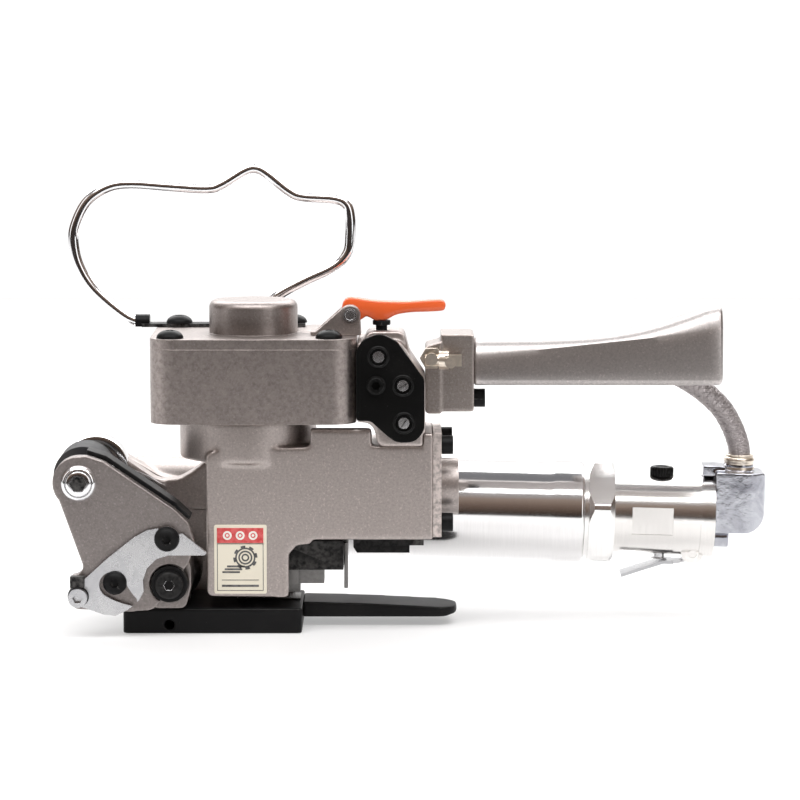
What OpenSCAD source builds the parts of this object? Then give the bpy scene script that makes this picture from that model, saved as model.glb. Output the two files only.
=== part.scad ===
// Pneumatic strapping tensioner: a friction-weld head with a swinging tension motor.
// Millimetres, +Z up. Z = 0 is the underside of the base plate, and X = Y = 0 is the weld motor's axis.
// +X points along the handle, and -Y is the side that carries the hook plate and the label.

/* [Base] */
// Thickness of the base plate
base_t = 12.8; // [11:0.2:14]
// Width of the foot tongue
tongue_w = 30; // [24:1:32]
// Length of the foot tongue past the base plate
tongue_l = 80; // [60:1:90]

/* [Weld head] */
// Length of the top housing
head_l = 105.6; // [104:0.2:107]
// Depth of the top housing
head_w = 84; // [82:0.5:86]
// Height of the top housing
head_h = 38.3; // [37:0.1:40]
// Thickness of the top cover
cover_t = 5.2; // [4:0.1:6]
// Radius of the dome on the cover
dome_r = 22.9; // [20:0.1:24]
// Throw of the eccentric on the weld shaft
weld_throw = 1; // [0.6:0.1:1.2]

/* [Handle] */
// Length of the handle grip
grip_l = 129; // [120:1:135]
// Width of the handle grip
grip_w = 31; // [28:0.5:34]

/* [Tension drive] */
// Radius of the feed wheel
feed_r = 14.2; // [13.6:0.1:14.2]
// Module of the worm and its wheel
worm_m = 1.5; // [1.5:0.1:1.5]
// Teeth on the worm wheel
wheel_teeth = 24; // [24:1:24]
// Tilt of the motor below the horizontal
motor_tilt = 1.65; // [0:0.05:1.7]
// Outside radius of the motor barrel
barrel_r = 26.6; // [26:0.1:27]
// Outside radius of the throttle body
throttle_r = 21.1; // [20.5:0.1:21.5]

/* [Hose] */
// Outside diameter of the braided hose
hose_d = 12; // [10:0.5:13]

/* [Hidden] */
$fn = 48;
gap = 0.3;              // free space between pieces that pass each other
fit = 0.05;             // radial clearance of a running or screwed fit

// Colours
cast_grey = [0.66, 0.64, 0.62];
steel_black = [0.06, 0.06, 0.06];
bright = [0.82, 0.83, 0.85];
brass_tone = [0.8, 0.68, 0.42];
signal_orange = [0.92, 0.3, 0.1];

// Base
base_x0 = -66.5;
base_x1 = 25.6;
base_y0 = -34;
base_y1 = 27;
strap_y = 4;            // centre line of the strap path
strap_w = 20;

// Main casting
case_x0 = -23.3;
case_y0 = -33;
case_y1 = 25;
case_top = 109;
case_end = 92.9;        // face that carries the end cap
rear_y1 = 19;           // far side of the cylinder section
wall = 5;
collar_x = -3;
collar_r = 35.5;
collar_z = 94;

// Weld press cylinder, along X
press_y = -7;
press_z = 75;
press_r = 17;
press_x0 = 42;
cap_half = 26;
cap_t = 4.4;
neck_r = 14.6;
neck_l = 9;
cap_bolt = 19;          // bolt offset from the cylinder axis, each way

// Head
cover_z = case_top + head_h;
cover_top = cover_z + cover_t;
dome_top = 169.6;
head_corner = 13;
head_bore = 31;

// Axes of the tension unit
axle_x = -87.6;
axle_z = 79.4;
axle_r = 6;
feed_x = -41.8;
feed_z = 27.3;
shaft_r = 6;
worm_y = 52;            // plane of the worm and of the motor axis
worm_up = 29.5;         // worm axis above the feed shaft
worm_pitch_r = worm_up - worm_m * wheel_teeth / 2;

// Planetary stage
sun_teeth = 12;
planet_teeth = 18;
ring_teeth = 48;
planet_m = 0.8;
planet_orbit = planet_m * (sun_teeth + planet_teeth) / 2;

// Stations along the motor axis, from the feed shaft
case_mouth = 76;
barrel_step = 197;
barrel_end = 215;
nut_x0 = 217.2;
nut_x1 = 230.8;
body_end = 281;
throttle_hinge = 274;
throttle_drop = 19.4;   // throttle hinge below the motor axis
plunger_x = 258.6;

// ---- Outlines ----
function unit(v) = v / norm(v);
function corner(a, b, c, r, n = 6) =
    r <= 0 ? [b] :
    let (u = unit(a - b), v = unit(c - b), half = acos(u * v) / 2, o = b + unit(u + v) * r / sin(half),
         p = b + u * r / tan(half) - o, q = b + v * r / tan(half) - o,
         s = atan2(p.y, p.x), turn = (atan2(q.y, q.x) - s + 540) % 360 - 180)
    [for (i = [0:n]) o + r * [cos(s + turn * i / n), sin(s + turn * i / n)]];
// Corner points [x, y, radius], taken in turn, with each corner rounded to its radius.
function rounded(c, n = 6) =
    let (m = len(c), p = [for (k = c) [k.x, k.y]])
    [for (i = [0:m - 1]) each corner(p[(i + m - 1) % m], p[i], p[(i + 1) % m], c[i][2], n)];
function box_outline(x0, x1, y0, y1, r) = rounded([[x0, y0, r], [x1, y0, r], [x1, y1, r], [x0, y1, r]]);
function arc(o, r, a0, a1, n = 8) = [for (i = [0:n]) o + r * [cos(a0 + (a1 - a0) * i / n), sin(a0 + (a1 - a0) * i / n)]];

// ---- Involute gears ----
function involute(r, rb) = r <= rb ? 0 : tan(acos(rb / r)) * 180 / PI - acos(rb / r);
function gear(teeth, m, slack = 0.12, tip = 1, root = 1.25) =
    let (rp = m * teeth / 2, rb = rp * cos(20), r0 = rp - root * m, r1 = rp + tip * m,
         radii = [r0, max(r0, rb), rb + (r1 - rb) * 0.35, rb + (r1 - rb) * 0.7, r1],
         halves = [for (r = radii) 90 / teeth - slack * 90 / PI / rp + involute(rp, rb) - involute(r, rb)])
    [for (k = [0:teeth - 1]) each concat(
        [for (i = [0:4]) let (a = 360 * k / teeth - halves[i]) radii[i] * [cos(a), sin(a)]],
        [for (i = [4:-1:0]) let (a = 360 * k / teeth + halves[i]) radii[i] * [cos(a), sin(a)]])];

// ---- Sweeps ----
function frame_at(p, i, side) =
    let (n = len(p), t = unit(p[min(i + 1, n - 1)] - p[max(i - 1, 0)]), u = unit(cross(side, t)))
    [u, cross(t, u)];
module tube_along(p, r, sides = 8, side = [0, 1, 0]) {
    n = len(p);
    points = [for (i = [0:n - 1]) let (f = frame_at(p, i, side)) for (k = [0:sides - 1])
        p[i] + r * (cos(360 * k / sides) * f[0] + sin(360 * k / sides) * f[1])];
    faces = concat(
        [[for (k = [sides - 1:-1:0]) k]],
        [for (i = [0:n - 2]) for (k = [0:sides - 1])
            let (a = i * sides + k, b = i * sides + (k + 1) % sides) each [[a, b, b + sides], [a, b + sides, a + sides]]],
        [[for (k = [0:sides - 1]) (n - 1) * sides + k]]);
    polyhedron(points, faces);
}
// A point on the smooth curve through a list of points, at t from 0 to its last index.
function smooth_at(p, t) =
    let (n = len(p), i = min(floor(t), n - 2), f = t - i,
         a = p[max(i - 1, 0)], b = p[i], c = p[i + 1], d = p[min(i + 2, n - 1)])
    0.5 * (2 * b + (c - a) * f + (2 * a - 5 * b + 4 * c - d) * f * f + (3 * b - a - 3 * c + d) * f * f * f);
module coil(r, wire, turns, length, sides = 6) {
    steps = turns * 14;
    tube_along([for (i = [0:steps]) [r * cos(360 * turns * i / steps), r * sin(360 * turns * i / steps),
        length * i / steps]], wire, sides, [0, 0, 1]);
}

// ---- Placing ----
module slab(y0, y1) rotate([90, 0, 0]) translate([0, 0, -y1]) linear_extrude(y1 - y0) children();
module rod_x(x0, x1, y, z, r) translate([x0, y, z]) rotate([0, 90, 0]) cylinder(h = x1 - x0, r = r);
module rod_y(y0, y1, x, z, r) translate([x, y0, z]) rotate([-90, 0, 0]) cylinder(h = y1 - y0, r = r);
module rod_z(z0, z1, x, y, r) translate([x, y, z0]) cylinder(h = z1 - z0, r = r);
// Frame of the motor: X along its axis, from above the feed shaft.
module on_motor() translate([feed_x, worm_y, feed_z]) rotate([0, motor_tilt, 0]) translate([0, 0, worm_up]) children();
module ring(h, r_out, r_in) difference() {
    cylinder(h = h, r = r_out);
    translate([0, 0, -1]) cylinder(h = h + 2, r = r_in);
}
module along_x(x) translate([x, 0, 0]) rotate([0, 90, 0]) children();
// Cap screw with its head above Z = 0 and its shank below.
module cap_screw(d, l) difference() {
    union() {
        cylinder(h = d, r = d * 0.8);
        translate([0, 0, -l]) cylinder(h = l, r = d / 2);
    }
    translate([0, 0, d * 0.45]) cylinder(h = d, r = d * 0.45, $fn = 6);
}
module button_screw(d, l) difference() {
    union() {
        rotate_extrude() polygon(concat([[0, 0]], [for (i = [0:6]) let (a = i * 15)
            [d * 0.875 * cos(a) * (i == 6 ? 0 : 1), d * 0.55 * sin(a)]]));
        translate([0, 0, -l]) cylinder(h = l, r = d / 2);
    }
    translate([0, 0, d * 0.25]) cylinder(h = d, r = d * 0.33, $fn = 6);
}

// ---- Base ----
module base_plate() color(steel_black) difference() {
    linear_extrude(base_t) polygon(box_outline(base_x0, base_x1, base_y0, base_y1, 3));
    // seats of the gripper insert and of the tongue's spigot
    translate([feed_x - 8, strap_y - 10.5, base_t - 6]) cube([16, 21, 10]);
    translate([base_x1 - 12, strap_y - 8, base_t - 9]) cube([20, 16, 6]);
    // cross bore and screw holes from below
    rod_y(base_y0 - 1, base_y0 + 16, feed_x - 0.8, 4.4, 2.6);
    for (x = [-12, 8]) rod_z(-1, base_t + 1, x, 20.5, 2.6);
}
module foot_tongue() color(steel_black) union() {
    intersection() {
        slab(strap_y - tongue_w / 2, strap_y + tongue_w / 2) polygon([[base_x1, 4.6], [base_x1 + tongue_l - 6, 4.6],
            [base_x1 + tongue_l + 2, 6.2], [base_x1 + tongue_l + 2, 9.2], [base_x1 + 34, 11.6], [base_x1, base_t - 0.3]]);
        linear_extrude(40) polygon(rounded([[base_x1, strap_y - 15, 0], [base_x1 + tongue_l, strap_y - 15, 11],
            [base_x1 + tongue_l, strap_y + 15, 11], [base_x1, strap_y + 15, 0]]));
    }
    translate([base_x1 - 10, strap_y - 7.9, base_t - 8.9]) cube([10, 15.8, 5.8]);
}
module lower_gripper() color([0.3, 0.3, 0.31]) difference() {
    translate([feed_x - 7.9, strap_y - 10.4, base_t - 6]) cube([15.8, 20.8, 6]);
    for (i = [-9:9]) translate([feed_x + i * 0.8, strap_y, base_t]) rotate([0, 45, 0]) cube([0.45, 30, 0.45], center = true);
}
module weld_anvil() color([0.34, 0.34, 0.35]) difference() {
    translate([-9, strap_y - 9, base_t]) cube([33, 17.9, 0.8]);
    for (i = [-19:20]) translate([7.5 + i * 0.8, strap_y, base_t + 0.8]) rotate([0, 45, 0]) cube([0.4, 30, 0.4], center = true);
}

// ---- Casting ----
skirt = rounded([[case_x0, 19, 3], [18.8, 18.3, 2], [19, 41, 0], [23, 45.5, 0], [29.8, 46, 0], [31, 48.4, 0],
    [case_end, 48.4, 0], [case_end, 97, 0], [40, 97, 0], [32, 97, 0], [case_x0, 94, 4]]);
module main_casting() color(cast_grey) difference() {
    union() {
        slab(case_y0, rear_y1) polygon(skirt);
        // far wall and the foot that bolts to the base plate
        slab(15, case_y1) polygon(rounded([[case_x0, base_t, 0], [20, base_t, 0], [30, 48.4, 4],
            [30, 97, 0], [case_x0, 94, 4]]));
        rod_z(collar_z - 6, case_top, collar_x, 0, collar_r);
        // rib along the top edge
        intersection() {
            rod_x(30, 61.5, case_y0 + 3, 100.6, 5.6);
            translate([20, case_y0, 90]) cube([60, 20, 30]);
        }
        // square land behind the end cap
        translate([case_end - 5, press_y - 26.6, 49.9]) cube([5, 26.6 + rear_y1 - press_y, 53.6]);
        // arm and eye for the pivot axle
        slab(12, case_y1) polygon(rounded([[case_x0 + 2, 57, 0], [case_x0 + 2, 88, 0], [-26, 83.4, 3], [-32, 78.8, 8],
            [-40, 74.2, 10], [-51, 73.2, 8], [-69, 85.5, 6], [-80, 92, 0], [-90, 70, 0], [-72, 65, 10], [-44, 58, 8]]));
        rod_y(12, case_y1, axle_x + 4.2, axle_z + 0.6, 16.6);
    }
    // room for the weld head, open below and to the near side of the strap path
    translate([-18.4, -28, 13]) cube([66.5, 50 - 7, 49]);
    translate([14, -28, 13]) cube([34.1, 43, 49]);
    translate([-40, -60, base_t - 1]) cube([140, 75, 19.3 - base_t]);
    // shaft well, motor register and press cylinder
    rod_z(50, 120, 0, 0, 15);
    rod_z(case_top - 4, 120, 0, 0, 24);
    rod_x(press_x0, case_end + 1, press_y, press_z, press_r);
    rod_x(press_x0 - 8, case_end, press_y, press_z, 6.05);
    translate([10, press_y - 9, 50]) cube([25, 18, press_z + 9 - 50]);
    rod_y(0, 40, axle_x, axle_z, axle_r + fit);
    for (y = [-1, 1], z = [-1, 1]) rod_x(case_end - 15, case_end + 1, press_y + y * cap_bolt, 76.8 + z * 20, 3.05);
    for (x = [-12, 8]) rod_z(0, base_t + 12, x, 20.5, 2.5);
}
module rating_label() color([0.9, 0.87, 0.78]) union() {
    slab(case_y0 - 0.5, case_y0) polygon(box_outline(-19.4, 7.6, 20.6, 56.4, 1));
    color([0.75, 0.1, 0.1]) slab(case_y0 - 0.7, case_y0 - 0.4) polygon(box_outline(-17.9, 5.9, 47, 54.8, 0.8));
}
module cylinder_end_cap() color(cast_grey) difference() {
    union() {
        translate([case_end, press_y - 26, 49.9]) cube([cap_t, 52, 53.8]);
        rod_x(case_end, case_end + cap_t + neck_l, press_y, 73, neck_r);
        rod_x(case_end - 5, case_end, press_y, press_z, press_r - fit);
    }
    rod_x(case_end - 6, case_end + cap_t + neck_l - 3, press_y, press_z, 9);
    for (y = [-1, 1], z = [-1, 1]) rod_x(case_end - 1, case_end + 9, press_y + y * cap_bolt, 76.8 + z * 20, 3.2);
}
module end_cap_screws() color(steel_black) for (y = [-1, 1], z = [-1, 1])
    translate([case_end + cap_t, press_y + y * cap_bolt, 76.8 + z * 20]) rotate([0, 90, 0]) cap_screw(6, 14);

// ---- Press ----
module press_piston() color(bright) difference() {
    union() {
        rod_x(72, 82, press_y, press_z, press_r - 0.08);
        rod_x(40.9, 76, press_y, press_z, 6);
        // wedge that drives the carriage down
        intersection() {
            rod_x(20, 41, press_y, press_z, 6);
            slab(press_y - 8, press_y + 8) polygon([[19, 76.33], [19, 82], [42, 82], [42, 68.67]]);
        }
    }
    // seal grooves
    for (x = [74.4, 78]) translate([x, press_y, press_z]) rotate([0, 90, 0]) ring(1.6, press_r + 1, press_r - 1.6);
}
module press_spring() color(bright) translate([press_x0 + 1, press_y, press_z]) rotate([0, 90, 0])
    coil(10, 0.9, 5, 27.9);
module weld_carriage() color(steel_black) difference() {
    union() {
        translate([-17.6, -21, 31]) cube([64.4, 35.4, 11]);
        translate([20.5, -21, 31]) cube([26.3, 35.4, 15]);
        // ramp under the piston's wedge
        slab(press_y - 5, press_y + 5) polygon([[21, 40], [30, 40], [30, 72.27], [21, 75.27]]);
    }
    rod_z(20, 60, 0, 0, 13);
    // recess for the jaw's guide tenon
    translate([23, -12, 30]) cube([14, 24.4, 5]);
}
module cutter_blade() color(bright) translate([46.9, -6.4, 19]) cube([2, 20.8, 24]);
module weld_jaw() color([0.2, 0.2, 0.21]) difference() {
    union() {
        translate([-9, strap_y - 9, 16.8]) cube([33, 17.5, 13.9]);
        translate([-11, -13, 22]) cube([34.4, 26, 8.7]);
        translate([23.4, -9, 22]) cube([13.2, 18, 8.7]);
        translate([23.4, -9, 28]) cube([13.2, 18, 6.6]);
    }
    rod_z(15, 40, 0, 0, 8.4);
    for (i = [-19:20]) translate([7.5 + i * 0.8, strap_y, 16.8]) rotate([0, 45, 0]) cube([0.4, 30, 0.4], center = true);
}
module guide_rail() color([0.1, 0.1, 0.11]) difference() {
    slab(press_y + 8, rear_y1) polygon([[51.6, 39.5], [53.5, 36.5], [81, 36.5], [81, 40.4], [88.4, 40.4], [88.4, 48.4], [51.6, 48.4]]);
    for (x = [58, 76]) rod_z(30, 60, x, 10, 1.65);
}

// ---- Weld motor ----
module top_housing() color(cast_grey) difference() {
    translate([0, 0, case_top]) linear_extrude(head_h)
        polygon(box_outline(53.7 - head_l, 53.7, -head_w / 2, head_w / 2, head_corner));
    rod_z(case_top + 4, cover_z + 1, 0, 0, head_bore);
    rod_z(case_top - 1, case_top + 6, 0, 0, 15);
    for (p = head_bolts) rod_z(cover_z - 20, cover_z + 1, p.x, p.y, 4.05);
}
head_bolts = [[-41.4, -32.5], [39.8, -32.5], [-40.4, 33], [20, 35.4]];
module top_cover() color(cast_grey) difference() {
    union() {
        translate([0, 0, cover_z]) linear_extrude(cover_t)
            polygon(box_outline(53.7 - head_l, 53.7, -head_w / 2, head_w / 2, head_corner));
        rotate_extrude() polygon(concat([[0, cover_z + 1], [dome_r, cover_z + 1]],
            arc([dome_r - 4, dome_top - 4], 4, 0, 90, 8), [[0, dome_top]]));
    }
    rod_z(cover_z - 1, dome_top - 5, 0, 0, 13);
    for (p = head_bolts) rod_z(cover_z - 1, cover_top + 5, p.x, p.y, 4.2);
}
module cover_screws() color(steel_black) for (p = head_bolts)
    translate([p.x, p.y, cover_top + (p.y > 0 && p.x < 30 ? 1.8 : 0)]) button_screw(8, 18);
module motor_sleeve() color([0.75, 0.74, 0.7]) difference() {
    rod_z(case_top + 4, cover_z, 0, 0, head_bore - fit);
    rod_z(case_top + 10, cover_z - 6, 2.6, 0, 26);
    rod_z(case_top, cover_z + 1, 0, 0, 6.05);
}
module weld_rotor() color(bright) difference() {
    union() {
        rod_z(case_top + 10.3, cover_z - 6.3, 0, 0, 23);
        rod_z(36, dome_top - 8, 0, 0, 6);
        rod_z(18.5, 37, weld_throw, 0, 5);
        // counterweight
        intersection() {
            rod_z(92, 103, 0, 0, 13.5);
            translate([-20, -20, 90]) cube([18, 40, 30]);
        }
        rod_z(92, 103, 0, 0, 8);
    }
    for (a = [0:72:300]) rotate([0, 0, a]) translate([14, -1.1, case_top + 9]) cube([20, 2.2, 40]);
}

// ---- Bail ----
bail_line = [[-61, 33, 154.4], [-70, 33, 158.4], [-85.3, 33, 171.6], [-93.1, 33, 184.3], [-95.8, 33, 196.4], [-94.8, 33, 205.9],
    [-88.6, 33, 218], [-78, 33, 225.4], [-66, 33, 227.4], [-44, 33, 226], [-25.4, 33, 225], [-17.5, 33, 227.2],
    [-5.8, 33, 234.2], [0, 33, 235.6], [5.6, 33, 233], [17, 33, 224], [24.5, 33, 220.8], [41, 33, 219.6],
    [47.6, 33, 216.6], [49.7, 33, 210], [49.8, 33, 200], [48.4, 33, 191], [41.2, 33, 183.8], [26, 33, 176.6],
    [12, 33, 169], [6, 33, 162], [3, 33, 154.6]];
module carry_bail() color(bright) tube_along([for (i = [0:78]) smooth_at(bail_line, i / 3)], 3, 12);
module bail_bracket() color(steel_black) difference() {
    union() {
        translate([-60, 27.4, cover_top]) cube([86, 11.4, 1.8]);
        rod_x(-63.5, -56, 33, cover_top + 2.4, 3.9);
        rod_z(cover_top, cover_top + 6, 3, 33, 4.6);
    }
    for (p = [head_bolts[2], head_bolts[3]]) rod_z(cover_top - 1, cover_top + 5, p.x, p.y, 4.2);
    translate([-70, 20, cover_top - 10]) cube([100, 25, 10]);
}

// ---- Weld lever and valve ----
lever_x = 50.4;
lever_z = 163;
lever_y = -11;
module lever_bracket() color(bright) union() {
    for (y = [lever_y - 7.4, lever_y + 4.4]) slab(y, y + 3) difference() {
        polygon(concat([[30, cover_top], [35, cover_top + 4]], arc([lever_x, lever_z], 5.4, 140, -20, 10), [[56, cover_top]]));
        translate([lever_x, lever_z]) circle(r = 2.55);
    }
    translate([30, lever_y - 7.4, cover_top]) cube([26, 14.8, 2]);
}
module lever_pin() color(bright) {
    rod_y(lever_y - 8.4, lever_y + 8.4, lever_x, lever_z, 2.5);
    color(steel_black) difference() {
        rod_y(lever_y - 8.6, lever_y - 7.4, lever_x, lever_z, 3.4);
        rod_y(lever_y - 9, lever_y - 7, lever_x, lever_z, 2.5);
    }
}
module weld_lever() color(signal_orange) difference() {
    slab(lever_y - 4.1, lever_y + 4.1) polygon(rounded([[46.4, 167.6, 2.6], [51, 171.8, 3], [97.7, 170.4, 2.4], [99.4, 166.2, 2],
        [97.2, 164.9, 2], [72.4, 163.5, 1], [70.4, 161.2, 1], [65.7, 160, 3], [59.5, 162.4, 1], [54.4, 159.4, 3], [47, 159, 3]]));
    rod_y(lever_y - 10, lever_y + 10, lever_x, lever_z, 2.5 + fit);
}
module weld_valve_plunger() color(steel_black) union() {
    rod_z(140, 159.8, 66.5, lever_y, 2.95);
    rod_z(157.4, 159.8, 66.5, lever_y, 4.6);
}
module valve_block() color(cast_grey) difference() {
    union() {
        slab(-35.6, 14) polygon(rounded([[53.9, 109.3, 1], [62, 109.3, 6], [65, 97, 4], [89, 97, 3],
            [89, 131, 3], [76, 150.5, 4], [54, 150.5, 2]]));
        slab(-24, 6) polygon(rounded([[56, 140, 0], [82, 140, 0], [78, 154.9, 4], [59, 154.9, 4]]));
    }
    rod_z(120, 160, 66.5, lever_y, 3);
    rod_y(-40, -10, 70, 118, 9);
    rod_x(70, 95, 0, 128, 6);
    // clear of the end cap's land and screws
    translate([87.6, -40, 90]) cube([10, 60, 14]);
    for (p = valve_bolts) rod_y(-36, -30, p.x, p.y, 2.05);
    rod_y(-36, -33, 63.8, 129, 2.55);
    for (y = [-1, 1]) rod_x(80, 100, press_y + y * cap_bolt, 96.8, 3.05);
}
module valve_cover() color(steel_black) difference() {
    slab(-39.6, -35.6) polygon(rounded([[53.6, 110.6, 2], [61, 110.6, 5], [69.4, 103, 6], [74, 99.6, 7], [84, 99.6, 8], [88.5, 106, 7],
        [88.5, 132, 5], [74.5, 151.4, 6], [66, 155.8, 8], [57, 152.4, 8], [53.6, 146.5, 5]]));
    for (p = valve_bolts) rod_y(-45, -38.2, p.x, p.y, 4.3);
    for (p = valve_bolts) rod_y(-45, -30, p.x, p.y, 2.2);
    rod_y(-45, -30, 63.8, 129, 2.55);
}
valve_bolts = [[65, 143.4], [77.5, 128.7], [78, 109.5]];
module valve_cover_screws() color(bright) {
    for (p = valve_bolts) translate([p.x, -38.3, p.y]) rotate([90, 0, 0]) difference() {
        union() {
            cylinder(h = 1.6, r = 3.3);
            translate([0, 0, -8]) cylinder(h = 8, r = 2);
        }
        translate([0, 0, 1.4]) cube([10, 0.8, 1.6], center = true);
    }
    color(steel_black) translate([63.8, -39.6, 129]) rotate([90, 0, 0]) cap_screw(5, 3.5);
}

// ---- Handle ----
grip_y = 5;
grip_x0 = 114.2;
grip_x1 = grip_x0 + grip_l;
module handle_adapter() color([0.7, 0.66, 0.56]) difference() {
    union() {
        slab(-14, 14) polygon(rounded([[89.05, 111.3, 2], [97.2, 111.3, 0], [97.2, 148.6, 0], [89.05, 146.4, 2]]));
        slab(-13, 18) polygon(rounded([[97.2, 112.3, 0], [grip_x0, 112.3, 1], [grip_x0, 152.4, 1], [97.2, 152.4, 0]]));
    }
    rod_x(80, grip_x0 + 1, 0, 128, 5);
    rod_x(grip_x0 - 13, grip_x0 + 1, 0, 118.2, 3.05);
}
module handle_grip() color(cast_grey) difference() {
    union() {
        rod_y(grip_y + 10, 43, 180, 134.7, 8);
        rod_x(180, 191, 36, 134.7, 7.4);
        slab(grip_y - grip_w / 2, grip_y + grip_w / 2) polygon(rounded([[grip_x0, 125.4, 1], [grip_x1, 125.4, 4], [grip_x1, 164, 5],
        [grip_x1 - 6, 166.6, 2], [218, 158.6, 20], [196, 153.6, 30], [170, 150.6, 30], [grip_x0, 148.8, 1]]));
    }
    // threaded air inlet, the gallery behind it, and the outlet to the hose
    rod_x(grip_x1 - 14, grip_x1 + 1, grip_y, 141, 5.8);
    rod_x(grip_x0 + 10, grip_x1 - 13, grip_y, 141, 4);
    rod_y(grip_y, 40, 180, 137, 3.5);
    rod_x(185.5, 192, 36, 134.7, 6.4);
}
module handle_bolt() color(steel_black) {
    translate([grip_x0, 0, 118.2]) rotate([0, 90, 0]) cap_screw(6, 12);
}
module speed_valve() color(brass_tone) union() {
    rod_y(-24, -14, 102, 139, 3);
    translate([92.2, -14, 140.6]) rotate([90, 0, 0]) cylinder(h = 5.5, r = 6, $fn = 6);
    rod_y(-24, -14, 92.2, 140.6, 3.2);
    translate([103.4, -19, 139.8]) cube([8.6, 8.6, 5.6], center = true);
    rod_x(96, 101, -19, 139.8, 4.8);
    rod_x(89, 97, -19, 139.8, 3);
}

// ---- Pivot ----
module pivot_axle() color(bright) difference() {
    union() {
        rod_y(-45, 44, axle_x, axle_z, axle_r);
        rod_y(-47.5, -44, axle_x, axle_z, 8.4);
    }
    translate([axle_x, -44.5, axle_z]) rotate([90, 0, 0]) cylinder(h = 5, r = 4.4, $fn = 6);
}
module guide_roller() color([0.13, 0.13, 0.13]) difference() {
    rod_y(-18, 11, axle_x, axle_z, 15.4);
    rod_y(-15, 8, axle_x, axle_z, 12.6);
    rod_y(-20, 13, axle_x, axle_z, axle_r + fit);
}
module torsion_spring() color([0.5, 0.5, 0.52])
    tube_along(concat([for (i = [0:60]) let (a = 90 + i * 22.5) [axle_x + 10 * cos(a), -33 + i * 0.21, axle_z + 10 * sin(a)]],
        [[-75, -20, 84], [-66, -18, 83], [-55, -8, 77.5], [-47, 10.8, 69]]), 1, 8);
plate_line = rounded([[-100.9, 79, 0], [-98, 90, 9], [-84.5, 93.6, 9], [-74.8, 90.3, 10], [-39.3, 66, 4], [-32, 59, 4],
    [-28.6, 48, 5], [-32, 38, 5], [-50, 14, 6], [-62, 13, 4], [-92, 14.5, 4], [-93, 31.5, 3], [-84.6, 33.4, 4]]);
hook_x = -42.7;
hook_z = 51.2;
stop_x = -69.4;
stop_z = 28.6;
module side_plate() color([0.5, 0.5, 0.5]) difference() {
    union() {
        slab(-44, -37) polygon(plate_line);
        rod_y(-44, -35, axle_x, axle_z, 13.6);
    }
    rod_y(-60, 0, axle_x, axle_z, axle_r);
    rod_y(-60, 0, hook_x, hook_z, 3);
    rod_y(-60, 0, stop_x, stop_z, 2.1);
    rod_y(-60, 0, feed_x, feed_z, 10);
}
module side_plate_screws() color(steel_black) {
    translate([hook_x, -48, hook_z]) rotate([90, 0, 0]) button_screw(7.4, 0.3);
    rod_y(-48.2, -38, hook_x, hook_z, 3);
    translate([stop_x, -48, stop_z]) rotate([90, 0, 0]) button_screw(7, 0.3);
    rod_y(-48.2, -38, stop_x, stop_z, 2.1);
}
module strap_guard() color(steel_black) slab(-36.7, -22)
    polygon(concat([[-84, 95.6], [-74, 92.4], [-52, 77.4], [-38.4, 68], [-31, 61]], [[-32.2, 59.4], [-39.6, 66.2], [-53, 75.4], [-75, 90.2], [-84, 93.4]]));
module shaft_bracket() color([0.58, 0.57, 0.55]) difference() {
    union() {
        slab(-36.7, -6) polygon(rounded([[-55, 20, 6], [-50, 13.4, 4], [-34, 13.4, 4], [-31.2, 24, 4], [-31.2, 38, 4], [-44, 41, 4], [-55, 38, 5]]));
        slab(-36.7, -30) polygon([[-60, 16], [-54, 16], [-54, 34], [-60, 34]]);
    }
    rod_y(-60, 0, feed_x, feed_z, shaft_r + fit);
    rod_y(-60, -34, feed_x, feed_z, 9.4);
    // clamp slits
    for (x = [-51.5, -35.5]) translate([x, -40, 30]) cube([1.2, 16, 14]);
}

// ---- Feed drive ----
module feed_wheel() color([0.25, 0.25, 0.26]) difference() {
    slab(strap_y - 9.5, strap_y + 9.5) translate([feed_x, feed_z]) polygon([for (i = [0:119])
        (feed_r - (i % 2) * 0.7) * [cos(i * 3), sin(i * 3)]]);
    rod_y(-10, 30, feed_x, feed_z, shaft_r);
}
module feed_shaft() color(bright) union() {
    rod_y(-42, 69, feed_x, feed_z, shaft_r);
    rod_y(strap_y + 9.5, 27.5, feed_x, feed_z, 8);
    color(steel_black) rod_y(-44.6, -42, feed_x, feed_z, 9);
    color(steel_black) translate([feed_x, -44.6, feed_z]) rotate([90, 0, 0]) button_screw(8, 2);
}
module worm_wheel() color(brass_tone) translate([feed_x, worm_y, feed_z]) rotate([0, motor_tilt, 0]) difference() {
    union() {
        for (k = [-2:2]) slab(k * 2 - 1, k * 2 + 1)
            rotate(7.5 - k * 2 * worm_m / 2 / worm_pitch_r * 180 / PI / (worm_m * wheel_teeth / 2))
                polygon(gear(wheel_teeth, worm_m, 0.3, 0.9));
        rod_y(-8, 8, 0, 0, 11);
    }
    rod_y(-20, 20, 0, 0, shaft_r);
}
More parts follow.
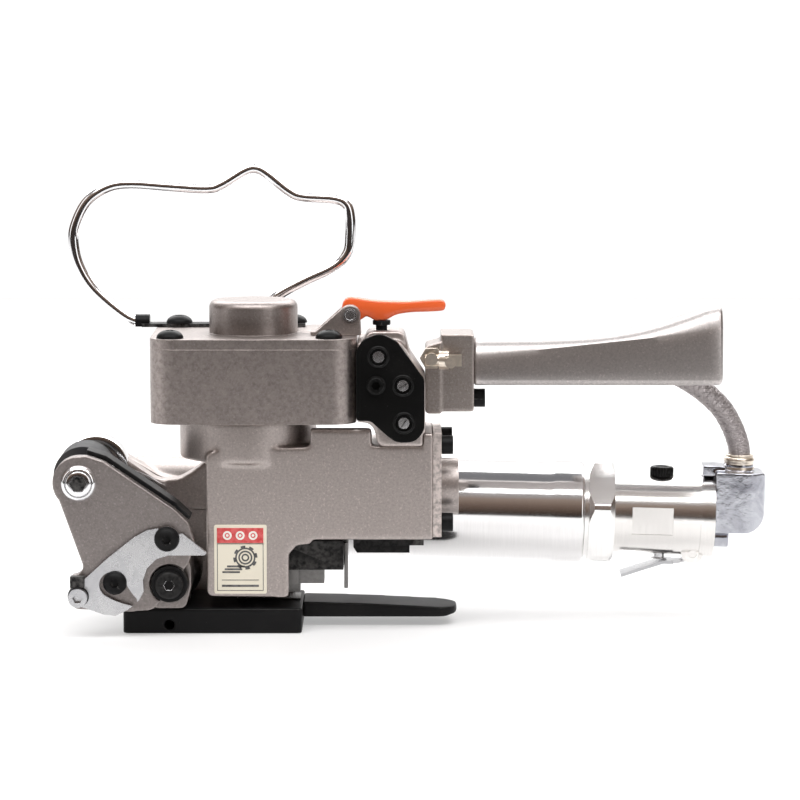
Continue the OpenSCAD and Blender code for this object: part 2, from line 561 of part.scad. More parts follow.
// Axial profile of the single-start thread, as radius against angle.
worm_lead = PI * worm_m;
worm_turns = 4;
worm_section = [for (p = [[0, 1], [42, 1], [84, 0.2], [128, -0.75], [160, -1.15], [200, -1.15], [232, -0.75], [276, 0.2], [318, 1]])
    (worm_pitch_r + worm_m * p.y) * [cos(p.x), sin(p.x)]];
module worm_shaft() color(bright) on_motor() union() {
    along_x(-worm_lead * 2) rotate([0, 0, 0])
        linear_extrude(worm_lead * worm_turns, twist = -360 * worm_turns, slices = 14 * worm_turns) polygon(worm_section);
    rod_x(-19.5, 82, 0, 0, 5);
    along_x(80) cylinder(h = 3.2, r = 16.5);
    for (a = [0, 120, 240]) along_x(83) rotate([0, 0, a]) translate([planet_orbit, 0, 0]) cylinder(h = 9, r = 2);
}
module planet(a) color(brass_tone) on_motor() along_x(83.5) rotate([0, 0, a]) translate([planet_orbit, 0, 0]) difference() {
    rotate([0, 0, 10]) linear_extrude(8) polygon(gear(planet_teeth, planet_m, 0.12, 0.85));
    translate([0, 0, -1]) cylinder(h = 10, r = 2 + fit);
}
module planet_gear_a() planet(0);
module planet_gear_b() planet(120);
module planet_gear_c() planet(240);
module ring_gear() color([0.4, 0.4, 0.42]) on_motor() along_x(83.2) difference() {
    cylinder(h = 9.6, r = 23.4);
    translate([0, 0, -1]) rotate([0, 0, 3.75]) linear_extrude(12) polygon(gear(ring_teeth, planet_m, -0.12, 1.25, 0.8));
}
module gearbox_case() color([0.6, 0.58, 0.55]) difference() {
    union() {
        on_motor() rod_x(-25, case_mouth - 6, 0, 0, 23.6);
        on_motor() rod_x(case_mouth - 12, case_mouth, 0, 0, 26);
        rod_y(28.4, 72, feed_x, feed_z, 24);
        slab(28.4, 42) polygon(rounded([[-101, 80, 10], [-90, 93, 8], [-75, 88, 12], [-51, 73.6, 8],
            [-30, 69, 8], [-24, 40, 0], [-50, 22, 6], [-80, 58, 12]]));
    }
    // worm chamber between its two bearings, and the mouth for the planetary stage
    on_motor() rod_x(-14, 60, 0, 0, 14);
    on_motor() rod_x(-21, 69, 0, 0, 5 + fit);
    on_motor() rod_x(68, case_mouth + 1, 0, 0, 20);
    rod_y(43, 61, feed_x, feed_z, 21);
    rod_y(61, 70, feed_x, feed_z, 18);
    rod_y(20, 80, feed_x, feed_z, shaft_r + fit);
    rod_y(20, 80, axle_x, axle_z, axle_r);
}
module gearbox_cover() color(cast_grey) difference() {
    union() {
        rod_y(72, 76, feed_x, feed_z, 24);
        for (a = [30:60:330]) rod_y(76, 78.6, feed_x + 20 * cos(a), feed_z + 20 * sin(a), 2.6);
    }
    rod_y(70, 74, feed_x, feed_z, 8);
    on_motor() rod_x(-30, 100, 0, 0, 23.7);
}

// ---- Tension motor ----
module motor_barrel() color([0.86, 0.87, 0.88]) on_motor() difference() {
    union() {
        rod_x(case_mouth, barrel_step, 0, 0, barrel_r);
        along_x(barrel_step) cylinder(h = 2.4, r1 = barrel_r, r2 = barrel_r + 0.9);
        rod_x(barrel_step + 2.4, barrel_end - 1.5, 0, 0, barrel_r + 0.9);
        along_x(barrel_end - 1.5) cylinder(h = 1.5, r1 = barrel_r + 0.9, r2 = barrel_r - 0.4);
    }
    rod_x(case_mouth - 1, barrel_end + 1, 0, 0, 23.4);
}
module rotor_sleeve() color([0.7, 0.7, 0.68]) on_motor() difference() {
    rod_x(98, 188, 0, 0, 23.4);
    translate([0, 0, 2]) rod_x(105, 181, 0, 0, 20);
    rod_x(97, 190, 0, 0, 6 + fit);
}
module motor_rotor() color([0.55, 0.56, 0.58]) on_motor() difference() {
    union() {
        along_x(84) linear_extrude(8.2) polygon(gear(sun_teeth, planet_m, 0.12, 1));
        rod_x(92, 98, 0, 0, 3.8);
        rod_x(98, 186, 0, 0, 6);
        rod_x(105.4, 180.6, 0, 0, 17);
    }
    for (a = [0:60:300]) rotate([a, 0, 0]) translate([104, -1, 11]) cube([80, 2, 10]);
}
module coupling_nut() color([0.72, 0.7, 0.66]) on_motor() difference() {
    union() {
        rod_x(barrel_end, nut_x0, 0, 0, barrel_r - 2.2);
        intersection() {
            along_x(nut_x0) rotate([0, 0, 17]) cylinder(h = nut_x1 - nut_x0, r = 30.9, $fn = 6);
            translate([nut_x0, 0, 0]) rotate([0, 90, 0]) union() {
                cylinder(h = 2.5, r1 = 27.4, r2 = 29.8);
                translate([0, 0, 2.5]) cylinder(h = nut_x1 - nut_x0 - 5, r = 29.8);
                translate([0, 0, nut_x1 - nut_x0 - 2.5]) cylinder(h = 2.5, r1 = 29.8, r2 = 27.4);
            }
        }
    }
    rod_x(barrel_end - 1, nut_x1 + 1, 0, 0, 15);
}
module throttle_body() color([0.66, 0.63, 0.58]) on_motor() {
    rod_y(-9, 9, throttle_hinge, -throttle_drop, 2.3);
    throttle_casting();
}
module throttle_casting() difference() {
    union() {
        rod_x(nut_x1, body_end - 4, 0, 0, throttle_r);
        rod_x(body_end - 4, body_end + 3.5, 0, 0, throttle_r + 1);
        // lever lugs and the knob on top
        for (y = [-9.4, 5.4]) slab(y, y + 4) polygon(rounded([[throttle_hinge - 7, -16, 0], [throttle_hinge - 5, -throttle_drop - 5, 4.4],
            [throttle_hinge + 5, -throttle_drop - 5, 4.4], [throttle_hinge + 6, -16, 0]]));
    }
    // milled flat on the near side and the air bore
    translate([240.4, -throttle_r - 5, -8.4]) cube([21.8, 7.4, 14.6]);
    rod_x(nut_x1 - 1, body_end + 5, 0, 0, 9);
    rod_z(-25, -8, plunger_x - 2, 0, 3);
    // seat of the knob, and the slot that the lever turns in
    rod_z(throttle_r - 1, 40, knob_x, 0, 6.25);
    translate([264, -5.4, -26]) cube([24, 10.8, 11.5]);
    rod_y(-12, 12, throttle_hinge, -throttle_drop, 2.3);
}
knob_top = throttle_r + 5;
knob_x = 256.6;
module throttle_lever() color(bright) on_motor() difference() {
    union() {
        rod_y(-5.1, 5.1, throttle_hinge, -throttle_drop, 4);
        slab(-5.1, 5.1) polygon([[throttle_hinge + 1, -throttle_drop - 3.9], [throttle_hinge - 8, -throttle_drop - 6.2],
            [262, -throttle_drop - 6.2], [262, -throttle_drop - 4.6], [throttle_hinge - 5, -throttle_drop - 4.4], [throttle_hinge - 3.8, -throttle_drop]]);
        slab(-8, 8) polygon([[264, -throttle_drop - 6.2], [258.6, -throttle_drop - 6.2], [246.4, -throttle_drop - 10.4],
            [236.4, -throttle_drop - 14], [236, -throttle_drop - 12.4], [246, -throttle_drop - 8.8], [258.2, -throttle_drop - 4.6],
            [264, -throttle_drop - 4.6]]);
    }
    rod_y(-12, 12, throttle_hinge, -throttle_drop, 2.3 + fit);
}
module throttle_plunger() color(bright) on_motor() {
    rod_z(-throttle_drop - 4.2, -9, plunger_x - 2, 0, 2.95);
    rod_z(-throttle_drop - 4.2, -throttle_drop - 3.7, plunger_x - 2, 0, 4.4);
}
elbow_x = 297.7;        // axis of the hose fitting, along the motor
module inlet_elbow() color(bright) on_motor() difference() {
    union() {
        // cast elbow from the motor's end up to the hose
        intersection() {
            slab(-30, 30) polygon(rounded([[body_end + 3.6, -7, 0], [312, -7, 12], [312, 25.2, 3], [body_end + 3.6, 25.2, 0]]));
            linear_extrude(80, center = true) polygon(rounded([[body_end, -16, 0], [312, -16, 11], [312, 16, 11], [body_end, 16, 0]]));
        }
        translate([278, -9, 22.4]) cube([12, 18, 5.6]);
        rod_z(24, 29, elbow_x, 0, 8);
        color(brass_tone) rod_z(29, 32.2, elbow_x, 0, 7.4);
        color(steel_black) rod_x(body_end + 3.6, body_end + 11.8, -6, -10.3, 5.5);
    }
    rod_z(-2, 40, elbow_x, 0, 4);
    rod_x(body_end, elbow_x, 0, 0, 4);
}
module adjusting_knob() color(steel_black) on_motor() rod_z(throttle_r - 1, knob_top, knob_x, 0, 6.2);

// ---- Hook plate ----
hook_line = [[-47.3, 56.6], [-45.6, 53.4], [-42.7, 52.2], [-37.5, 53.2], [-34.8, 54], [-22.5, 44], [-23.6, 42.7], [-42, 42.7],
    [-48.1, 40.9], [-53, 36], [-55.1, 29.8], [-54.7, 24.1], [-57.2, 19.5], [-62.9, 14.6], [-69.1, 11.6], [-75.2, 12.2],
    [-87.4, 16.4], [-85.5, 29.8], [-73.4, 40.9], [-59.5, 52], [-52.9, 55.6]];
module hook_plate() color(bright) difference() {
    union() {
        slab(-47.6, -44.6) polygon(hook_line);
        rod_y(-47.6, -44.6, hook_x, hook_z, 6.2);
        // clevis block and its screw at the tail
        color(steel_black) rod_y(-47.6, -44.6, -88, 21.5, 5.4);
        color(steel_black) translate([-92, -49, 26.2]) cube([7, 4.4, 5.2]);
        color(steel_black) translate([-88, -47.6, 21.5]) rotate([90, 0, 0]) cap_screw(6, 3);
    }
    rod_y(-60, 0, hook_x, hook_z, 3 + fit);
    // arc slot that limits its swing
    for (i = [0:10]) translate([hook_x, 0, hook_z]) rotate([0, i * 2.05, 0]) translate([-hook_x, 0, -hook_z])
        rod_y(-60, 0, -60.4 - 0.2, 18.6 + 0.6, 2.5 + i * 0.42);
}

// ---- Hose ----
hose_line = [[257.6, 52, 81], [257.5, 52, 84.2], [256.5, 51.8, 89], [253, 50.9, 98], [246.5, 48, 108.3], [234.6, 43.6, 119], [220, 39.6, 127.6],
    [206, 37.2, 132.6], [193, 36, 134.5], [186, 36, 134.7]];
module hose() color([0.72, 0.72, 0.72]) tube_along([for (i = [0:54]) smooth_at(hose_line, i / 6)], hose_d / 2, 12, [0.5, 0.8, 0.3]);

base_plate();
foot_tongue();
lower_gripper();
weld_anvil();
main_casting();
top_housing();
top_cover();
cover_screws();
bail_bracket();
carry_bail();
lever_bracket();
weld_lever();
lever_pin();
weld_valve_plunger();
valve_block();
valve_cover();
valve_cover_screws();
handle_adapter();
handle_grip();
handle_bolt();
speed_valve();
cylinder_end_cap();
end_cap_screws();
press_piston();
press_spring();
weld_carriage();
cutter_blade();
weld_jaw();
guide_rail();
rating_label();
motor_sleeve();
weld_rotor();
pivot_axle();
guide_roller();
torsion_spring();
side_plate();
side_plate_screws();
strap_guard();
shaft_bracket();
gearbox_case();
gearbox_cover();
feed_wheel();
feed_shaft();
worm_wheel();
worm_shaft();
planet_gear_a();
planet_gear_b();
planet_gear_c();
motor_barrel();
ring_gear();
rotor_sleeve();
motor_rotor();
coupling_nut();
throttle_body();
throttle_lever();
throttle_plunger();
adjusting_knob();
inlet_elbow();
hook_plate();
hose();
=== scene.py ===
import math
import bpy
import bmesh
from mathutils import Matrix, Vector


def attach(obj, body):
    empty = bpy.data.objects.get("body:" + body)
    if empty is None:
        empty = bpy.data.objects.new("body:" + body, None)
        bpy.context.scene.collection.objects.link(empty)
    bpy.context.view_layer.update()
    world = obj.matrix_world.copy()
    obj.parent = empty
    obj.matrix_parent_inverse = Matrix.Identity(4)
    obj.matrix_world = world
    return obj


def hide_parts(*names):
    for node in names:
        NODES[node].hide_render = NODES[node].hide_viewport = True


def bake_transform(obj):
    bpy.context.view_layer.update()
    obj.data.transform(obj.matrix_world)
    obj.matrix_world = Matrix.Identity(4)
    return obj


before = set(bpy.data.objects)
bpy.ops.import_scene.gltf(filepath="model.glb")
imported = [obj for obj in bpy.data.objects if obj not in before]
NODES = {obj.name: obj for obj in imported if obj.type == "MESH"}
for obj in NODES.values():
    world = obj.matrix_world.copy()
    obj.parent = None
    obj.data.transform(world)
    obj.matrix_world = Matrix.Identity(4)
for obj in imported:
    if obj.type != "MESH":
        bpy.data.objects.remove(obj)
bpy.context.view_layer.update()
MM = 0.001


# ---------------------------------------------------------------- camera and stage
TARGET = Vector((0.076, 0.0, 0.117))
ELEVATION = math.radians(6.5)
DISTANCE = 1.9


def make_camera():
    data = bpy.data.cameras.new("camera")
    data.lens = 164.4
    data.sensor_width = 36.0
    data.clip_end = 50
    cam = bpy.data.objects.new("camera", data)
    bpy.context.collection.objects.link(cam)
    cam.location = TARGET + DISTANCE * Vector((0, -math.cos(ELEVATION), math.sin(ELEVATION)))
    cam.rotation_euler = (math.pi / 2 - ELEVATION, 0, 0)
    bpy.context.scene.camera = cam


def make_stage():
    """A white sweep: a floor that curves up into a backdrop behind the object."""
    bm = bmesh.new()
    rows = []
    profile = [(-0.52, 0.0), (2.0, 0.0)]
    for i in range(1, 9):
        a = math.radians(90 * i / 8)
        profile.append((2.0 + 1.2 * math.sin(a), 1.2 - 1.2 * math.cos(a)))
    profile.append((3.2, 5.0))
    for y, z in profile:
        rows.append([bm.verts.new((x, y, z)) for x in (-4.0, 4.0)])
    for a, b in zip(rows, rows[1:]):
        bm.faces.new((a[0], a[1], b[1], b[0]))
    mesh = bpy.data.meshes.new("floor")
    bm.to_mesh(mesh)
    bm.free()
    mesh.polygons.foreach_set("use_smooth", [True] * len(mesh.polygons))
    floor = bpy.data.objects.new("floor", mesh)
    bpy.context.collection.objects.link(floor)
    floor.location.z = -0.0002
    for name, base, glow in (("floor", 0.55, 0.36), ("sweep", 0.3, 0.82)):
        mat = bpy.data.materials.new(name)
        mat.use_nodes = True
        shader = mat.node_tree.nodes["Principled BSDF"]
        shader.inputs["Base Color"].default_value = (base, base, base, 1)
        shader.inputs["Roughness"].default_value = 0.8
        shader.inputs["Specular IOR Level"].default_value = 0.15
        shader.inputs["Emission Color"].default_value = (1, 1, 1, 1)
        shader.inputs["Emission Strength"].default_value = glow
        mesh.materials.append(mat)
    for face in mesh.polygons:
        face.material_index = 1 if face.center.z > 0.001 else 0


def area_light(name, location, size, power, color=(1, 1, 1), aim=TARGET):
    data = bpy.data.lights.new(name, "AREA")
    data.shape = "RECTANGLE"
    data.size, data.size_y = size
    data.energy = power
    data.color = color
    light = bpy.data.objects.new(name, data)
    bpy.context.collection.objects.link(light)
    light.location = location
    light.rotation_euler = (aim - Vector(location)).to_track_quat("-Z", "Y").to_euler()


# Brightness of the room against height, from straight down (0) to straight up (1), beyond the sweep.
ROOM = ((0.0, (0.12, 0.11, 0.11)), (0.4, (0.05, 0.045, 0.045)), (0.5, (0.035, 0.026, 0.022)), (0.55, (0.08, 0.055, 0.042)),
        (0.66, (0.17, 0.12, 0.095)), (0.78, (0.3, 0.23, 0.19)), (0.82, (0.34, 0.31, 0.3)), (0.97, (0.3, 0.3, 0.31)),
        (1.0, (0.2, 0.2, 0.21)))


def make_lights():
    area_light("softbox", (0.08, -0.75, 1.62), (2.6, 0.95), 36)
    area_light("left_box", (-1.5, -0.5, 0.7), (0.5, 1.3), 2.6)
    area_light("right_box", (1.2, -1.3, 0.55), (0.7, 1.1), 3.4)
    area_light("back_strip", (0.08, 0.95, 0.85), (1.8, 0.4), 11)
    area_light("backdrop_light", (0.1, 0.9, 1.7), (2.6, 1.0), 30, aim=Vector((0.1, 1.6, 0.0)))
    world = bpy.data.worlds.new("studio")
    bpy.context.scene.world = world
    world.use_nodes = True
    tree = world.node_tree
    tree.nodes.clear()
    add, link = tree.nodes.new, tree.links.new
    split = add("ShaderNodeSeparateXYZ")
    link(add("ShaderNodeTexCoord").outputs["Generated"], split.inputs[0])
    height = add("ShaderNodeMapRange")
    height.inputs["From Min"].default_value = -1
    link(split.outputs["Z"], height.inputs["Value"])
    ramp = add("ShaderNodeValToRGB")
    stops = ramp.color_ramp.elements
    stops[0].color = ROOM[0][1] + (1,)
    stops[1].color = ROOM[-1][1] + (1,)
    for position, color in ROOM[1:-1]:
        stops.new(position).color = color + (1,)
    link(height.outputs[0], ramp.inputs[0])
    room = add("ShaderNodeBackground")
    link(ramp.outputs[0], room.inputs["Color"])
    seen = add("ShaderNodeBackground")
    seen.inputs["Color"].default_value = (1, 1, 1, 1)
    pick = add("ShaderNodeMixShader")
    link(add("ShaderNodeLightPath").outputs["Is Camera Ray"], pick.inputs[0])
    link(room.outputs[0], pick.inputs[1])
    link(seen.outputs[0], pick.inputs[2])
    link(pick.outputs[0], add("ShaderNodeOutputWorld").inputs["Surface"])
    bpy.context.scene.view_settings.view_transform = "Standard"


make_camera()
make_stage()
make_lights()


# ---------------------------------------------------------------- materials
class Surface:
    """A Principled material whose colour, roughness and bump come from nodes in object space."""

    def __init__(self, name, color, metallic, rough):
        self.mat = bpy.data.materials.new(name)
        self.mat.use_nodes = True
        self.tree = self.mat.node_tree
        self.bsdf = self.tree.nodes["Principled BSDF"]
        self.bsdf.inputs["Metallic"].default_value = metallic
        self.color = tuple(color) + (1.0,)
        self.coord = self.tree.nodes.new("ShaderNodeTexCoord").outputs["Object"]
        self.rough = rough
        self.rough_out = None
        self.color_out = None
        self.normal_out = None

    def node(self, kind, inputs=(), **props):
        made = self.tree.nodes.new(kind)
        for key, value in props.items():
            setattr(made, key, value)
        for key, value in dict(inputs).items():
            if isinstance(value, bpy.types.NodeSocket):
                self.tree.links.new(value, made.inputs[key])
            else:
                made.inputs[key].default_value = value
        return made

    def stretched(self, scale):
        return self.node("ShaderNodeMapping", {"Vector": self.coord, "Scale": scale}).outputs[0]

    def noise(self, scale, detail=4.0, rough=0.55, vector=None, distortion=0.0):
        return self.node("ShaderNodeTexNoise", {
            "Vector": vector or self.coord, "Scale": scale, "Detail": detail,
            "Roughness": rough, "Distortion": distortion}).outputs["Fac"]

    def ramp(self, fac, low, high, a=0.0, b=1.0):
        return self.node("ShaderNodeMapRange", {
            "Value": fac, "From Min": low, "From Max": high, "To Min": a, "To Max": b}).outputs[0]

    def mix(self, fac, a, b, blend="MIX"):
        made = self.node("ShaderNodeMix", data_type="RGBA", blend_type=blend)
        for index, value in ((0, fac), (6, a), (7, b)):
            if isinstance(value, bpy.types.NodeSocket):
                self.tree.links.new(value, made.inputs[index])
            else:
                made.inputs[index].default_value = value if index == 0 else tuple(value) + (1.0,) * (4 - len(value))
        return made.outputs[2]

    def math(self, op, a, b=0.0, clamp=False):
        return self.node("ShaderNodeMath", {0: a, 1: b}, operation=op, use_clamp=clamp).outputs[0]

    def tint(self, fac, color, blend="MIX"):
        self.color_out = self.mix(fac, self.color_out or self.color, color, blend)

    def vary(self, fac, low, high):
        """Adds to the roughness, from low to high, as fac goes from 0 to 1."""
        add = self.ramp(fac, 0.0, 1.0, low, high)
        base = self.rough_out or self.rough
        self.rough_out = self.math("ADD", base, add, clamp=True)

    def bump(self, height, distance, strength=1.0):
        inputs = {"Height": height, "Distance": distance, "Strength": strength}
        if self.normal_out:
            inputs["Normal"] = self.normal_out
        self.normal_out = self.node("ShaderNodeBump", inputs).outputs[0]

    def edges(self, low=0.52, high=0.58):
        """1 on convex edges, broken up by noise, 0 elsewhere. Callers lighten these edges partly as rubbed wear and
        partly as a painted highlight, or grey them as rubbed wear.
        """
        geometry = self.node("ShaderNodeNewGeometry")
        wear_and_highlight = self.ramp(geometry.outputs["Pointiness"], low, high)
        broken = self.ramp(self.noise(420, 3), 0.35, 0.6)
        return self.math("MULTIPLY", wear_and_highlight, broken, clamp=True)

    # Painted shade: 1 in crevices and concave corners, where shade falls, 0 on open surfaces.
    def painted_crevice_shade(self, low=0.49, high=0.42):
        geometry = self.node("ShaderNodeNewGeometry")
        return self.ramp(geometry.outputs["Pointiness"], low, high)

    def done(self, **sockets):
        links = self.tree.links
        if self.color_out:
            links.new(self.color_out, self.bsdf.inputs["Base Color"])
        else:
            self.bsdf.inputs["Base Color"].default_value = self.color
        if self.rough_out:
            links.new(self.rough_out, self.bsdf.inputs["Roughness"])
        else:
            self.bsdf.inputs["Roughness"].default_value = self.rough
        if self.normal_out:
            links.new(self.normal_out, self.bsdf.inputs["Normal"])
        for key, value in sockets.items():
            self.bsdf.inputs[key.replace("_", " ")].default_value = value
        return self.mat


def cast_metal(name, color, rough=0.42, metallic=0.9, grain=0.00003, stain=0.3):
    """Bead-blasted alloy casting: fine grain, soft staining, painted shade darkening the crevices, and edges lightened
    partly as rubbed wear and partly as a painted highlight.
    """
    s = Surface(name, color, metallic, rough)
    cloud = s.noise(14, 4, 0.5)
    fine = s.noise(850, 3, 0.65)
    s.tint(s.ramp(cloud, 0.35, 0.75, 0.0, stain), [c * 0.84 for c in color])
    s.tint(s.ramp(fine, 0.42, 0.64, 0.0, 0.5), [c * 0.66 for c in color])
    s.tint(s.ramp(s.noise(900, 2), 0.6, 0.7, 0.0, 0.5), [min(1.0, c * 1.5) for c in color])
    # painted shade: the colour is darkened in crevices and concave corners
    s.tint(s.painted_crevice_shade(), [c * 0.4 for c in color])
    # edges lightened: partly rubbed wear, partly a painted highlight
    s.tint(s.edges(), [min(1.0, c * 1.7) for c in color])
    s.vary(cloud, -0.03, 0.05)
    s.vary(fine, -0.04, 0.04)
    s.bump(fine, grain)
    s.bump(s.noise(240, 2), grain * 0.3)
    return s.done()


def machined(name, color, rough, axis, lines=3800, depth=0.000004, metallic=1.0, stain=0.2):
    """Turned or milled metal: fine tool lines that run across the given axis."""
    s = Surface(name, color, metallic, rough)
    scale = [60.0, 60.0, 60.0]
    scale[axis] = lines
    tool = s.noise(1.0, 2, 0.5, s.stretched(scale))
    cloud = s.noise(35, 4)
    s.tint(s.ramp(cloud, 0.4, 0.75, 0.0, stain), [c * 0.82 for c in color])
    s.tint(s.ramp(tool, 0.35, 0.7, 0.0, 0.14), [c * 0.6 for c in color])
    # edges lightened a little: partly rubbed wear, partly a painted highlight
    s.tint(s.edges(), [min(1.0, c * 1.15) for c in color])
    s.vary(cloud, -0.03, 0.06)
    s.vary(tool, -0.04, 0.05)
    s.bump(tool, depth)
    return s.done()


def plated(name, color, rough, blot=(0.62, 0.66, 0.74), depth=0.00002, scale=160, stain=0.3):
    """Bright plating over stamped or cast steel, with a faint coloured bloom."""
    s = Surface(name, color, 1.0, rough)
    bloom = s.noise(55, 4, 0.6, distortion=0.6)
    s.tint(s.ramp(bloom, 0.42, 0.7, 0.0, stain), blot)
    specks = s.noise(1500, 2)
    s.tint(s.ramp(specks, 0.68, 0.76, 0.0, 0.5), [c * 0.4 for c in color])
    s.vary(bloom, -0.05, 0.1)
    s.vary(s.noise(scale * 4, 3), -0.03, 0.05)
    s.bump(s.noise(scale, 3), depth)
    return s.done()


def black_oxide(name, color=(0.007, 0.007, 0.0075), rough=0.38, bare=(0.16, 0.155, 0.15), wear=0.5, grain=0.00002):
    """Oil-blacked steel: dusty clouds, tiny marks, greyer rubbed edges."""
    s = Surface(name, color, 0.0, rough)
    cloud = s.noise(30, 5, 0.6)
    s.tint(s.ramp(cloud, 0.5, 0.85, 0.0, 0.4), (0.022, 0.021, 0.02))
    s.tint(s.ramp(s.noise(1300, 2), 0.72, 0.8, 0.0, 0.4), (0.12, 0.115, 0.11))
    s.tint(s.math("MULTIPLY", s.edges(0.53, 0.6), wear), bare)
    s.vary(cloud, -0.08, 0.12)
    s.bump(s.noise(1900, 2), grain)
    return s.done(Specular_IOR_Level=0.12)


def painted(name, color, rough=0.28):
    """Glossy powder coat: orange peel, darker clouds, and paler edges that are partly rubbed wear and partly a painted
    highlight.
    """
    s = Surface(name, color, 0.0, rough)
    s.tint(s.ramp(s.noise(26, 4), 0.4, 0.75, 0.0, 0.3), [c * 0.78 for c in color])
    # paler edges: partly rubbed wear, partly a painted highlight
    s.tint(s.math("MULTIPLY", s.edges(0.54, 0.62), 0.6), [min(1.0, c * 1.15 + 0.12) for c in color])
    s.vary(s.noise(60, 3), -0.05, 0.1)
    s.bump(s.noise(520, 2), 0.00003)
    return s.done(**{"Coat_Weight": 0.3, "Coat_Roughness": 0.15})


def rubber(name, color=(0.02, 0.02, 0.022)):
    s = Surface(name, color, 0.0, 0.62)
    s.tint(s.ramp(s.noise(40, 5), 0.45, 0.75, 0.0, 0.5), (0.06, 0.055, 0.05))
    s.vary(s.noise(300, 3), -0.1, 0.1)
    s.bump(s.noise(1600, 3), 0.00004)
    return s.done()


def make_materials():
    return {
        "cast": cast_metal("cast_alloy", (0.47, 0.42, 0.4), 0.4),
        "cast_dark": cast_metal("cast_iron_plate", (0.3, 0.27, 0.26), 0.44, 0.9, 0.00008, 0.4),
        "housing": cast_metal("housing_alloy", (0.34, 0.3, 0.285), 0.38, 0.95, 0.00003, 0.2),
        "grip": cast_metal("grip_alloy", (0.46, 0.43, 0.42), 0.38, 1.0, 0.00002, 0.15),
        "block": cast_metal("handle_block", (0.36, 0.32, 0.3), 0.4, 0.9, 0.00004),
        "ground": machined("ground_steel", (0.66, 0.66, 0.67), 0.22, 1),
        "polished": machined("polished_alloy", (0.88, 0.87, 0.87), 0.1, 0, 5200, 0.000002, 1.0, 0.1),
        "throttle": machined("throttle_alloy", (0.84, 0.82, 0.8), 0.17, 0, 4200, 0.000003, 1.0, 0.15),
        "chrome": plated("chrome_wire", (0.86, 0.86, 0.87), 0.07, (0.7, 0.71, 0.74), 0.000004, 90, 0.25),
        "zinc": plated("bright_zinc", (0.6, 0.6, 0.61), 0.24, (0.42, 0.43, 0.46), 0.00002, 200, 0.5),
        "nut": machined("nut_steel", (0.95, 0.94, 0.93), 0.2, 0, 2600, 0.000003, 1.0, 0.2),
        "cast_chrome": plated("cast_chrome", (0.5, 0.51, 0.55), 0.13, (0.2, 0.2, 0.24), 0.0001, 300, 0.75),
        "black": black_oxide("black_oxide"),
        "black_paint": black_oxide("black_enamel", (0.005, 0.005, 0.005), 0.22, (0.1, 0.1, 0.1), 0.3, 0.000006),
        "hard": machined("hard_steel", (0.2, 0.195, 0.19), 0.34, 2, 2600, 0.000004, 1.0, 0.4),
        "brass": machined("brass", (0.76, 0.6, 0.32), 0.22, 0, 3000, 0.000003),
        "bronze": machined("sleeve_bronze", (0.5, 0.4, 0.28), 0.3, 2, 3000),
        "orange": painted("orange_enamel", (0.83, 0.13, 0.03)),
        "rubber": rubber("roller_rubber"),
        "label": painted("label_film", (0.8, 0.75, 0.62), 0.4),
        "label_red": painted("label_red", (0.55, 0.03, 0.03), 0.35),
        "label_ink": painted("label_ink", (0.05, 0.05, 0.05), 0.4),
        "braid": machined("steel_braid", (0.36, 0.33, 0.33), 0.36, 2, 1200, 0.00001, 0.95, 0.5),
        "nickel": machined("nickel_plate", (0.8, 0.72, 0.62), 0.3, 0, 2600, 0.000003, 1.0, 0.3),
        "white_ink": painted("label_white", (0.82, 0.78, 0.72), 0.4),
    }


M = make_materials()

NODE_LOOKS = {
    "cast": ["main_casting", "valve_block", "lever_bracket", "cylinder_end_cap", "gearbox_case", "gearbox_cover"],
    "cast_dark": ["side_plate", "shaft_bracket"],
    "nickel": ["speed_valve"],
    "housing": ["top_housing", "top_cover"],
    "grip": ["handle_grip"],
    "block": ["handle_adapter"],
    "ground": ["press_piston", "feed_shaft", "pivot_axle", "worm_shaft", "weld_rotor", "motor_rotor",
               "lever_pin", "throttle_plunger", "press_spring", "torsion_spring", "valve_cover_screws"],
    "polished": ["motor_barrel"],
    "throttle": ["throttle_body"],
    "chrome": ["carry_bail"],
    "zinc": ["hook_plate", "throttle_lever"],
    "nut": ["coupling_nut"],
    "cast_chrome": ["inlet_elbow"],
    "black": ["base_plate", "foot_tongue", "cover_screws", "bail_bracket", "handle_bolt", "end_cap_screws",
              "weld_carriage", "side_plate_screws", "strap_guard", "weld_valve_plunger", "guide_rail"],
    "black_paint": ["valve_cover", "adjusting_knob"],
    "hard": ["lower_gripper", "weld_anvil", "weld_jaw", "feed_wheel", "cutter_blade"],
    "brass": ["worm_wheel", "planet_gear_a", "planet_gear_b", "planet_gear_c"],
    "bronze": ["motor_sleeve", "rotor_sleeve", "ring_gear"],
    "orange": ["weld_lever"],
    "rubber": ["guide_roller"],
    "label": ["rating_label"],
}
# Rounded edge of each node in millimetres; the rest get the common one.
EDGE = {"handle_grip": 3.2, "weld_lever": 1.3, "top_cover": 1.2, "top_housing": 0.5, "base_plate": 0.7, "foot_tongue": 0.9,
        "side_plate": 1.1, "valve_cover": 0.7, "hook_plate": 0.4, "handle_adapter": 1.0, "lever_bracket": 0.5,
        "inlet_elbow": 1.4, "coupling_nut": 0.6, "cylinder_end_cap": 0.6, "motor_barrel": 0.5, "throttle_body": 0.7,
        "strap_guard": 0.5, "valve_block": 1.4, "weld_carriage": 0.8, "bail_bracket": 0.5, "shaft_bracket": 0.9}
# Voxel size in millimetres and smoothing passes of the castings, whose every edge and corner is soft.
SOFT = {"main_casting": (0.8, 16), "valve_block": (0.7, 10), "gearbox_case": (1.0, 12), "shaft_bracket": (0.6, 8),
        "inlet_elbow": (0.5, 6), "handle_adapter": (0.6, 6), "side_plate": (0.6, 4), "base_plate": (0.7, 4),
        "valve_cover": (0.4, 3), "foot_tongue": (0.7, 4), "lever_bracket": (0.4, 4), "gearbox_cover": (0.6, 4)}
PLAIN = {"planet_gear_a", "planet_gear_b", "planet_gear_c", "worm_shaft", "worm_wheel", "ring_gear", "press_spring",
         "torsion_spring", "hose", "carry_bail", "motor_rotor", "weld_rotor", "feed_wheel", "lower_gripper", "weld_anvil"}


